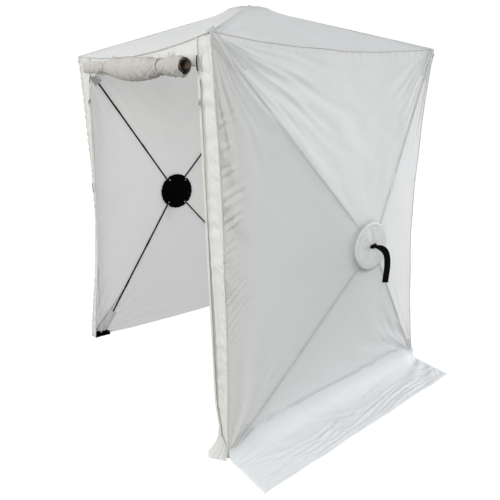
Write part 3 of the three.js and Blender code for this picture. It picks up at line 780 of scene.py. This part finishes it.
JAMB_LOW = {-1: 0.045, 1: 0.095}  # width of each jamb at the ground
JAMB_HIGH = {-1: 0.170, 1: 0.115}  # and at the top


def door_x(s, z):
    low = CORNER[s, FRONT, False][0] - s * JAMB_LOW[s]
    high = CORNER[s, FRONT, True][0] - s * JAMB_HIGH[s]
    return low + (high - low) * z / TOP_Z


def jamb(s, name):
    z = np.linspace(0.004, TOP_Z - 0.010, 220)
    outer = corner_seam(s, FRONT)(z / TOP_Z)
    inner = np.stack([door_x(s, z) + pinched(s, z), face_y(z) + 0.004, z], -1)
    share = np.linspace(0, 1, 22)
    P = inner[:, None] + (outer - inner)[:, None] * share[None, :, None]
    fold = (0.0035 * ripple(z / 0.11, 50 + s, 5)[:, None] * np.sin(math.pi * share)[None]
            + 0.0042 * ripple(z[:, None] / 0.050 + share[None] * 1.5, 54 + s, 5)
            * np.exp(-((1 - share) / 0.40) ** 2)[None] * smooth((1 - share) / 0.08)[None]
            + 0.0032 * ripple(share[None] * 2.1 + z[:, None] * 0.8, 57 + s, 4)
            * smooth((z - 0.1) / 0.3)[:, None])
    P[..., 1] -= fold
    piece = made("jamb_cloth_" + name, slab(flared(P), CLOTH), jamb_mat, "jamb_" + name)
    waver = (0.0008 * ripple(z / 0.05, 61 + s))[:, None]
    hem = inner + np.array((0, -0.001, 0)) + np.array((0, -1, 0)) * waver
    hem = swept(flared(hem), X, section(0.012, 0.005, 10, 2.4))
    made("jamb_hem_" + name, hem, binding)


for s, name in HANDS:
    jamb(s, name)


def header():
    x = np.linspace(door_x(-1, TOP_Z) - 0.05, door_x(1, TOP_Z) + 0.05, 240)
    t = (x - CORNER[-1, FRONT, True][0]) / (CORNER[1, FRONT, True][0] - CORNER[-1, FRONT, True][0])
    top = front_hem(t)
    top[:, 2] -= 0.003
    low_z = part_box("door_header")[0].z
    low = np.stack([x, np.full(len(x), face_y(low_z) + 0.004), low_z + 0.004 * ripple(x / 0.2, 81)], -1)
    share = np.linspace(0, 1, 20)
    P = top[:, None] + (low - top)[:, None] * share[None, :, None]
    P[..., 1] -= 0.004 * ripple(x / 0.09, 82, 6)[:, None] * np.sin(math.pi * share)[None] - 0.003
    piece = made("header_cloth", slab(P, CLOTH), jamb_mat, "door_header")


header()

roll_low, roll_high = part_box("door_roll")
ROLL_R = 0.045
roll_y = (roll_low.y + roll_high.y) / 2
roll_left = np.array((roll_low.x + 0.004, roll_y, roll_high.z - ROLL_R))
roll_right = np.array((roll_high.x - 0.002, roll_y, roll_low.z + ROLL_R))
TIE_X = (middle("door_tie_left")[0], middle("door_tie_right")[0])


def roll_shape(x):
    """Height and depth radii of the rolled door and the sag of its middle, along x."""
    first, second = TIE_X
    across = np.clip((x - first) / (second - first), 0, 1)
    belly = np.sin(math.pi * across) ** 0.8
    flat = smooth((first - 0.01 - x) / 0.11)
    flare = smooth((x - second - 0.01) / 0.11)
    tall = ROLL_R * (0.60 + 0.16 * across + 0.66 * belly + 0.16 * flat + 0.24 * flare)
    deep = ROLL_R * (0.62 + 0.14 * across + 0.44 * belly - 0.24 * flat + 0.20 * flare)
    return tall, deep, 0.010 * belly


def door_roll():
    """The door, rolled up. share runs from 0 on the outside of the roll to 1 in its middle."""
    turns, steps = 7.4, 36
    a = np.linspace(0, 1, 240)
    line = roll_left + (roll_right - roll_left) * a[:, None]
    tall, deep, sag = roll_shape(line[:, 0])
    angle = np.linspace(0, turns * TAU, int(turns * steps))
    share = angle / angle[-1]
    x = line[:, 0][:, None]
    between = smooth((x - TIE_X[0] + 0.03) / 0.06) * smooth((TIE_X[1] + 0.05 - x) / 0.10)
    # Folds that run out from each tie, and short pleats along the top where the zip gathers the edge.
    near = np.exp(-np.abs(x - TIE_X[0]) / 0.11) + np.exp(-np.abs(x - TIE_X[1]) / 0.12)
    swing = 0.9 - angle
    fold = 0.0060 * near * ripple(angle[None] / TAU * 8 + 2.5 * np.sin(x * 7), 101, 5)
    top = np.clip(np.sin(swing + 0.9), 0, 1)[None] ** 1.2
    crimp = ripple(x / 0.034 + 0.9 * np.sin(swing)[None], 105, 5, 0.7, 1.3)
    pleat = 0.0120 * between * top * (1 - 2 * np.sqrt(np.clip(np.abs(crimp) * 0.8, 0, 1)))
    along = (0.0030 * ripple(angle[None] / TAU * 3 + x * 8, 102, 5)
             + 0.0018 * ripple(x / 0.06 + np.sin(angle)[None], 103, 4))
    skin = (fold + pleat + along) * (1 - 0.75 * smooth(share / 0.25))[None]
    # At the open end the outer turn curls in over the turns behind it, which stop short.
    lip = smooth((x - roll_right[0] + 0.018) / 0.018)
    inner = smooth((share - 0.11) / 0.05)[None]
    outer = 1 - inner
    behind = inner * (1 - smooth((share - 0.44) / 0.08))[None]
    inward = (1 - 0.60 * share)[None] - 0.26 * lip * outer
    end = smooth((x - TIE_X[1] - 0.02) / 0.10)
    P = np.empty((len(a), len(angle), 3))
    P[..., 0] = x + ((0.008 * ripple(share * 9, 104)[None] * (1 - 0.7 * outer) - 0.020 * behind)
                     * smooth((x - roll_right[0] + 0.05) / 0.05))
    P[..., 1] = (line[:, 1][:, None] + (deep[:, None] * inward + skin) * np.cos(swing)[None]
                 + 0.006 * end * share[None])
    P[..., 2] = ((line[:, 2] - sag)[:, None] + (tall[:, None] * inward + skin) * np.sin(swing)[None]
                 + 0.012 * end * share[None])
    piece = made("door_cloth", film(P), roll_mat, "door_roll")
    # Painted shade: the inner turns at the open end are tinted dark brown for the shaded hollow of the roll;
    # the tint is also raised by a tenth near each tie.
    hollow_shade_tint = smooth((share - 0.36) / 0.18)[None] * smooth((x - TIE_X[1]) / 0.06) + 0.10 * near
    paint(piece, hollow_shade_tint)


door_roll()


def door_ties():
    """Each tie: a band around the roll and a strap up to the hem."""
    for x, name in zip(TIE_X, ("left", "right")):
        k = (x - roll_left[0]) / (roll_right[0] - roll_left[0])
        c = roll_left + (roll_right - roll_left) * k
        tall, deep, sag = (value.item() for value in map(np.asarray, roll_shape(x)))
        a = np.linspace(0, TAU, 60)
        loop = np.stack([np.full(60, x), c[1] + (deep + 0.0015) * np.cos(a),
                         c[2] - sag + (tall + 0.0015) * np.sin(a)], -1)
        band = swept(loop, X, section(0.015, 0.0022, 12, 5))
        rise = np.stack([np.full(16, x), np.linspace(c[1] + deep, c[1] + 0.045, 16),
                         np.linspace(c[2] + tall * 0.7, c[2] + 0.062, 16)], -1)
        lift = swept(rise, X, section(0.018, 0.0022, 12, 5))
        made("tie_" + name, joined([band, lift]), tie_mat, "door_tie_" + name)


door_ties()


SLIDER = np.linspace(-0.013, 0.013, 14)[:, None]
PULL = np.linspace(-0.004, 0.034, 18)[:, None]


def zip_side(s, name):
    """A zip tape with its coil along a jamb, and the slider with its pull."""
    low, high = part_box("zip_tape_" + name)
    z = np.linspace(low.z, high.z + 0.085, 160)  # its top end runs on behind the rolled door
    path = np.stack([door_x(s, z) + s * 0.011 + pinched(s, z), face_y(z) - 0.0022, z], -1)
    flat = swept(path, X, section(0.016, 0.0012, 8, 5))
    coil = swept(path + (0, -0.0012, 0), X, section(0.0045, 0.0022, 8, 2.2),
                 1 + 0.12 * np.cos(np.arange(160) * math.pi))
    made("zip_" + name, joined([flat, coil]), tape, "zip_tape_" + name)
    node = "zip_slider_" + name
    c = middle(node)
    along = unit(path[-1] - path[0])
    body = swept(c + along * SLIDER, X, section(0.012, 0.006, 12, 3),
                 0.72 + 0.28 * np.sin(np.linspace(0.3, 2.6, 14)))
    pull = swept(c + np.array((0, -0.005, 0)) - along * PULL, X, section(0.007, 0.0018, 10, 3),
                 0.6 + 0.4 * np.abs(np.sin(np.linspace(0.4, 4.0, 18))))
    made("slider_" + name, joined([body, pull]), slider_mat, node, node)


for s, name in HANDS:
    zip_side(s, name)


# ---- corner gussets, feet, skirt and flap ----
def gusset(s, e, name):
    """The cloth across a top corner."""
    low, high = (np.array(p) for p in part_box("corner_pocket_" + name))
    c = CORNER[s, e, True]
    z = np.linspace(low[2], high[2], 14)
    share = np.linspace(0, 1, 20)
    near, far = 0.012, 0.012 + (high - low)[:2].max()
    a = np.stack([np.full(14, c[0] - s * near), np.full(14, c[1] - e * far), z], -1)
    b = np.stack([np.full(14, c[0] - s * far), np.full(14, c[1] - e * near), z], -1)
    P = a[:, None] + (b - a)[:, None] * share[None, :, None]
    P[..., 2] -= 0.004 * np.sin(math.pi * share)[None] * (1 + ripple(z / 0.03, 5)[:, None] * 0.4)
    piece = made("gusset_" + name, slab(P, CLOTH), cloth, "corner_pocket_" + name)


def boot(name):
    """The black foot at a ground corner: a low moulding with five ribs over it."""
    low, high = (np.array(p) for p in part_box("foot_" + name))
    m = (low + high) / 2
    half = (high - low) / 2
    y = np.linspace(low[1], high[1], 26)
    rise = 1 - 0.30 * smooth(np.abs(y - m[1]) / half[1]) ** 2
    shape = np.repeat(section(2 * half[0], 2 * half[2], 20, 4)[None], len(y), 0)
    shape[..., 1] *= rise[:, None]
    parts = [swept(np.stack([np.full(26, m[0]), y, half[2] * rise], -1), X, shape)]
    arc = np.linspace(0.15, math.pi - 0.15, 20)
    for i in range(-2, 3):
        rib = np.stack([m[0] + (half[0] + 0.0006) * np.cos(arc), np.full(20, m[1] + i * half[1] * 0.32),
                        half[2] + (half[2] + 0.0006) * np.sin(arc) * 0.98], -1)
        parts.append(swept(rib, (0, 1, 0), section(0.004, 0.002, 8, 3)))
    p, q = joined(parts)
    made("boot_" + name, (flared(p), q), plastic, "foot_" + name)


for s, side in HANDS:
    for e, end in ENDS:
        gusset(s, e, f"{end}_{side}")
        boot(f"{end}_{side}")


def skirt():
    """The ground skirt along the right wall: it curves off the wall and lies in long wrinkles."""
    low, high = (np.array(p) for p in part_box("skirt_right"))
    a, b = CORNER[1, FRONT, False], CORNER[1, BACK, False]
    t = np.linspace(0, 1, 260)
    root = a + (b - a) * t[:, None]
    reach = high[0] - a[0] - 0.004
    end_y = a[1] + (b[1] - a[1] - 0.030) * t
    w = np.linspace(0, 1, 56)
    full = 0.35 + 0.65 * smooth(t / 0.16) * smooth((1 - t) / 0.10)
    curve = 0.160 * full
    bend = np.clip(w / 0.40, 0, 1)[None]
    # Down the wall's own slope, then out along the ground, tangent to both.
    out = (curve[:, None] * (0.185 * (1 - bend) ** 2 + 0.05 * 2 * bend * (1 - bend) + 0.95 * bend ** 2)
           + (reach - 0.95 * curve[:, None]) * np.clip((w - 0.40) / 0.60, 0, 1)[None])
    rise = curve[:, None] * (1 - bend) ** 2
    P = np.empty((len(t), len(w), 3))
    P[..., 0] = root[:, 0][:, None] + out
    P[..., 1] = root[:, 1][:, None] + (end_y - root[:, 1])[:, None] * w[None]
    x, y = out, P[..., 1]
    patchy = 0.55 + 0.45 * ripple(y * 1.9 + x * 3, 207, 4)
    long = ripple(x / 0.075 + 0.9 * y + 0.5 * np.sin(y * 3.7 + x * 6), 201, 5) * patchy
    cross = ripple(y / 0.16 - x / 0.11 + 0.4 * np.sin(x * 21), 202, 5) * (0.5 + 0.5 * ripple(y * 1.3, 208, 3))
    fan = ripple((x / (0.05 + 0.25 * np.abs(y - b[1]))) * 0.9, 203, 5) * np.exp(-np.abs(y - b[1]) / 0.35)
    fine = (ripple(x / 0.040 + 1.3 * y + 0.5 * np.sin(y * 5.3), 209, 6)
            * (0.6 + 0.5 * ripple(y * 2.3 - x * 5, 210, 3)))
    lift = np.maximum(0, 0.0055 + 0.0036 * long + 0.0044 * cross + 0.0048 * fine + 0.008 * fan)
    lift = lift * smooth((w - 0.10) / 0.25)[None]
    edge = smooth((1 - w) / 0.03)[None] * smooth(t / 0.012)[:, None] * smooth((1 - t) / 0.02)[:, None]
    P[..., 2] = 0.0012 + rise + lift * (0.12 + 0.88 * edge)
    P[..., 0] += 0.003 * ripple(y * 3.1, 204) * w[None] ** 2
    piece = made("skirt_cloth", slab(P, 0.0010), skirt_mat, "skirt_right")


skirt()


def flap():
    """The loose foot of the right jamb, spread forward on the ground."""
    corner = CORNER[1, FRONT, False]
    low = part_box("jamb_flap")[0]
    share = np.linspace(0, 1, 40)
    top = np.stack([np.linspace(door_x(1, 0.13) + 0.026, corner[0] - 0.006, 40),
                    np.full(40, face_y(0.12)) - 0.003, np.linspace(0.135, 0.060, 40)], -1)
    x, y, z = door_x(1, 0.0), low.y, 0.002
    foot = spline([(x - 0.012, y + 0.022, z), (x + 0.03, y - 0.004, z), (corner[0] - 0.02, y + 0.026, z),
                   (corner[0] + 0.012, y + 0.046, z)], 40)
    w = np.linspace(0, 1, 30)
    P = top[:, None] + (foot - top)[:, None] * smooth(w)[None, :, None]
    P[..., 2] = top[:, 2][:, None] * (1 - w)[None] ** 1.7 + 0.0016
    P[..., 1] -= 0.0055 * ripple(share * 6, 211, 5)[:, None] * np.sin(math.pi * w)[None]
    piece = made("flap_cloth", slab(P, 0.0010), jamb_mat, "jamb_flap")


flap()


def toggles():
    """Black webbing tabs on the jambs that hold the rolled door."""
    def tab(name, x, z, length, width, lean=0.0):
        y = face_y(z) - 0.014
        k = np.linspace(0, 1, 20)
        path = np.stack([x + lean * k, np.full(20, y) - 0.002 * np.sin(math.pi * k), z - length * k], -1)
        strip = swept(path, (1, -0.2, 0), section(width, 0.003, 12, 4))
        made(name, strip, webbing)
    tab("tab_right", door_x(1, 1.88) + 0.022, 1.915, 0.062, 0.011)
    tab("tab_left_high", door_x(-1, 1.88) + 0.052, 1.872, 0.036, 0.010, -0.026)
    tab("tab_left_low", door_x(-1, 1.10) + 0.004, 1.20, 0.060, 0.009)


toggles()


# ---- stage and light ----
FLOOR_HALF, DOME_R = 30, 28
WORLD_DIM, WORLD_BRIGHT = 0.14, 0.73  # away from and towards the brightest part of the studio
# name, place, size, watts, warmth
LAMPS = (("key", (3.2, 8.0, 3.0), 4.0, 500, 1.0), ("front", (-2.4, -7.8, 2.6), 4.5, 370, 1.0),
         ("left", (-7.2, -0.6, 3.7), 4.5, 250, 0.84), ("side", (5.2, -6.0, 3.9), 3.5, 275, 0.98))


def stage():
    """A pale floor and dome that only the camera sees, a world that is brighter above, and four lamps."""
    h, r = FLOOR_HALF, DOME_R
    square = [(-h, -h, -0.001), (h, -h, -0.001), (h, h, -0.001), (-h, h, -0.001)]
    floor = raw("floor", square, [(0, 1, 2, 3)], None)
    outline = [(0.01, -r), (20, -20), (r, 0), (20, 20), (0.01, r)]
    dome = raw("dome", *lathe(outline, (0, 0, 0), (0, 0, 1), 32), None)
    for piece, strength, base in ((floor, 1.04, 0.05), (dome, 1.05, 0.0)):
        m = bpy.data.materials.new(piece.name)
        m.use_nodes = True
        inputs = m.node_tree.nodes["Principled BSDF"].inputs
        for key, value in (("Base Color", (base, base, base, 1)), ("Roughness", 1.0),
                           ("Specular IOR Level", 0.0), ("Emission Color", (1, 1, 1, 1)),
                           ("Emission Strength", strength)):
            inputs[key].default_value = value
        piece.data.materials.clear()
        piece.data.materials.append(m)
        piece.visible_diffuse = piece.visible_glossy = False
        piece.visible_transmission = piece.visible_shadow = False
    world = bpy.data.worlds.new("studio")
    bpy.context.scene.world = world
    world.use_nodes = True
    tree = world.node_tree
    tree.nodes.clear()
    place = add_node(tree, "TexCoord", {}).outputs["Generated"]
    dot = add_node(tree, "VectorMath", {0: place, 1: unit(np.array((0.15, 0.55, 0.80)))}, "DOT_PRODUCT")
    span = add_node(tree, "MapRange", {"From Min": -1.0, "From Max": 1.0, "To Min": WORLD_DIM,
                                       "To Max": WORLD_BRIGHT, "Value": dot.outputs["Value"]})
    light = add_node(tree, "Background", {"Color": (0.98, 0.99, 1.0, 1), "Strength": span.outputs["Result"]})
    add_node(tree, "OutputWorld", {"Surface": light.outputs[0]})
    for name, place, size, watts, warmth in LAMPS:
        lamp = bpy.data.objects.new(name, bpy.data.lights.new(name, "AREA"))
        lamp.data.size = size
        lamp.data.energy = watts
        lamp.data.color = (1.0, 0.5 + warmth / 2, warmth)
        lamp.location = place
        lamp.rotation_euler = (Vector((0, 0, 1.0)) - Vector(place)).to_track_quat("-Z", "Y").to_euler()
        bpy.context.scene.collection.objects.link(lamp)


stage()
scene = bpy.context.scene
scene.view_settings.view_transform = "Standard"
scene.view_settings.look = "None"
scene.view_settings.exposure = 0.0
scene.cycles.max_bounces = 10
scene.cycles.transmission_bounces = 8
scene.cycles.diffuse_bounces = 6
